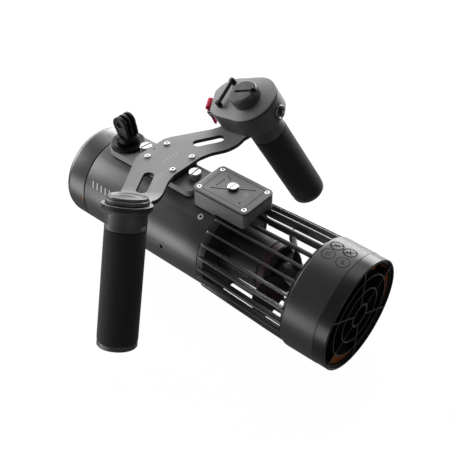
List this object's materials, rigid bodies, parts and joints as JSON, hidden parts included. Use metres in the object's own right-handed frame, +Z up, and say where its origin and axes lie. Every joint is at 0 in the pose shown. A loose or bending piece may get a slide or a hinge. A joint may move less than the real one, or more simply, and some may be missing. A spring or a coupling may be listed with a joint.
{
  "type": "underwater scooter",
  "caption": "Hand-held underwater scooter: a cylindrical hull with a caged ducted propeller, a V bracket on top carrying two splayed foam grips, a control head and a camera mount.",
  "frame": {"origin": "centre of the bounding box's base, under the hull's axis", "axes": "+Y along the propulsion axis towards the nose, +X to the rider's right (the control grip), +Z up"},
  "size_m": [0.329, 0.3392, 0.1804],
  "materials": {
    "battery_pack": "shrink-wrapped cells",
    "body_tube": "satin anodised",
    "box_lid": "satin anodised",
    "bracket_block": "moulded",
    "bracket_bolt_1": "bright stainless",
    "bracket_bolt_2": "bright stainless",
    "bracket_bolt_3": "bright stainless",
    "bracket_bolt_4": "bright stainless",
    "bracket_plate": "satin anodised",
    "button_bezel": "bright stainless",
    "control_box": "satin anodised",
    "controller_board": "solder resist",
    "drive_shaft": "bright stainless",
    "duct_liner": "satin",
    "front_bearing": "bright stainless",
    "grip_cap_left": "satin anodised",
    "grip_collar_left": "satin anodised",
    "grip_collar_right": "satin anodised",
    "grip_core_left": "satin anodised",
    "grip_core_right": "satin anodised",
    "grip_end_left": "satin anodised",
    "grip_end_right": "satin anodised",
    "grip_foam_left": "closed-cell foam",
    "grip_foam_right": "closed-cell foam",
    "guard_cage": "satin anodised",
    "head_board": "solder resist",
    "head_housing": "satin anodised",
    "head_lid": "satin anodised",
    "hub_ring": "satin",
    "lanyard_bar": "moulded",
    "lid_gasket": "matt",
    "lid_screw_1": "bright stainless",
    "lid_screw_2": "bright stainless",
    "lid_screw_3": "bright stainless",
    "lid_screw_4": "bright stainless",
    "motor_pod": "satin anodised",
    "motor_rotor": "bright stainless",
    "motor_stator": "wound copper",
    "mount_base": "moulded",
    "mount_prongs": "moulded",
    "nose_cap": "satin anodised",
    "nose_mark": "satin",
    "nose_o_ring": "matt",
    "nozzle_ring": "satin anodised",
    "outlet_grille": "satin anodised",
    "power_knob": "bright stainless",
    "propeller": "moulded",
    "rail_screw_front": "bright stainless",
    "rail_screw_rear": "bright stainless",
    "rear_bearing": "bright stainless",
    "rear_bulkhead": "satin anodised",
    "shaft_seal": "matt",
    "side_screw": "bright stainless",
    "speed_dial": "satin anodised",
    "tail_cone": "satin anodised",
    "thumb_button": "moulded",
    "top_rail": "satin anodised",
    "trigger": "satin",
    "trigger_pin": "bright stainless",
    "trigger_spring": "bright stainless"
  },
  "bodies": {
    "hull": {"battery_pack": "battery_pack", "body_tube": "body_tube", "box_lid": "box_lid", "bracket_block": "bracket_block", "bracket_bolt_1": "bracket_bolt_1", "bracket_bolt_2": "bracket_bolt_2", "bracket_bolt_3": "bracket_bolt_3", "bracket_bolt_4": "bracket_bolt_4", "bracket_plate": "bracket_plate", "button_bezel": "button_bezel", "control_box": "control_box", "controller_board": "controller_board", "duct_liner": "duct_liner", "front_bearing": "front_bearing", "grip_cap_left": "grip_cap_left", "grip_collar_left": "grip_collar_left", "grip_collar_right": "grip_collar_right", "grip_core_left": "grip_core_left", "grip_core_right": "grip_core_right", "grip_end_left": "grip_end_left", "grip_end_right": "grip_end_right", "grip_foam_left": "grip_foam_left", "grip_foam_right": "grip_foam_right", "guard_cage": "guard_cage", "head_board": "head_board", "head_housing": "head_housing", "head_lid": "head_lid", "lanyard_bar": "lanyard_bar", "lid_gasket": "lid_gasket", "lid_screw_1": "lid_screw_1", "lid_screw_2": "lid_screw_2", "lid_screw_3": "lid_screw_3", "lid_screw_4": "lid_screw_4", "motor_pod": "motor_pod", "motor_stator": "motor_stator", "mount_base": "mount_base", "nozzle_ring": "nozzle_ring", "outlet_grille": "outlet_grille", "rear_bearing": "rear_bearing", "rear_bulkhead": "rear_bulkhead", "shaft_seal": "shaft_seal", "side_screw": "side_screw", "top_rail": "top_rail", "trigger_pin": "trigger_pin", "trigger_spring": "trigger_spring"},
    "nose": {"nose_cap": "nose_cap", "nose_mark": "nose_mark", "nose_o_ring": "nose_o_ring"},
    "drive": {"motor_rotor": "motor_rotor", "drive_shaft": "drive_shaft", "propeller": "propeller", "hub_ring": "hub_ring", "tail_cone": "tail_cone"},
    "trigger": {"trigger": "trigger"},
    "speed_dial": {"speed_dial": "speed_dial"},
    "thumb_button": {"thumb_button": "thumb_button"},
    "power_knob": {"power_knob": "power_knob"},
    "mount_prongs": {"mount_prongs": "mount_prongs"},
    "rail_screw_front": {"rail_screw_front": "rail_screw_front"},
    "rail_screw_rear": {"rail_screw_rear": "rail_screw_rear"}
  },
  "joints": [
    {"name": "prop_spin", "type": "hinge", "parent": "hull", "child": "drive", "pos_m": [0, -0.0976, 0.0565], "axis": [0, 1, 0], "continuous": true},
    {"name": "nose_twist", "type": "hinge", "parent": "hull", "child": "nose", "pos_m": [0, 0.1404, 0.0565], "axis": [0, 1, 0], "range_deg": [0, 60]},
    {"name": "trigger_pull", "type": "hinge", "parent": "hull", "child": "trigger", "pos_m": [0.0755, 0.07065, 0.13873], "axis": [-0.8456, -0.4414, -0.3003], "range_deg": [0, 13], "stiffness_Nm_per_rad": 0.05, "springref_deg": -11.46},
    {"name": "thumb_press", "type": "slide", "parent": "hull", "child": "thumb_button", "axis": [-0.0532, 0.9574, -0.2838], "range_m": [0, 0.0015], "stiffness_N_per_m": 600, "springref_m": -0.001},
    {"name": "dial_turn", "type": "hinge", "parent": "hull", "child": "speed_dial", "pos_m": [0.08049, 0.02815, 0.16354], "axis": [-0.4316, 0.2343, 0.8711], "range_deg": [0, 240]},
    {"name": "power_turn", "type": "hinge", "parent": "hull", "child": "power_knob", "pos_m": [0, -0.0214, 0.1245], "axis": [0, 0, 1], "range_deg": [0, 90]},
    {"name": "mount_swivel", "type": "hinge", "parent": "hull", "child": "mount_prongs", "pos_m": [0, 0.1186, 0.1165], "axis": [0, 0, 1], "range_deg": [-90, 90]},
    {"name": "rail_screw_front_turn", "type": "hinge", "parent": "hull", "child": "rail_screw_front", "pos_m": [0, 0.0931, 0.1165], "axis": [0, 0, 1], "continuous": true},
    {"name": "rail_screw_rear_turn", "type": "hinge", "parent": "hull", "child": "rail_screw_rear", "pos_m": [0, 0.0264, 0.1165], "axis": [0, 0, 1], "continuous": true}
  ]
}
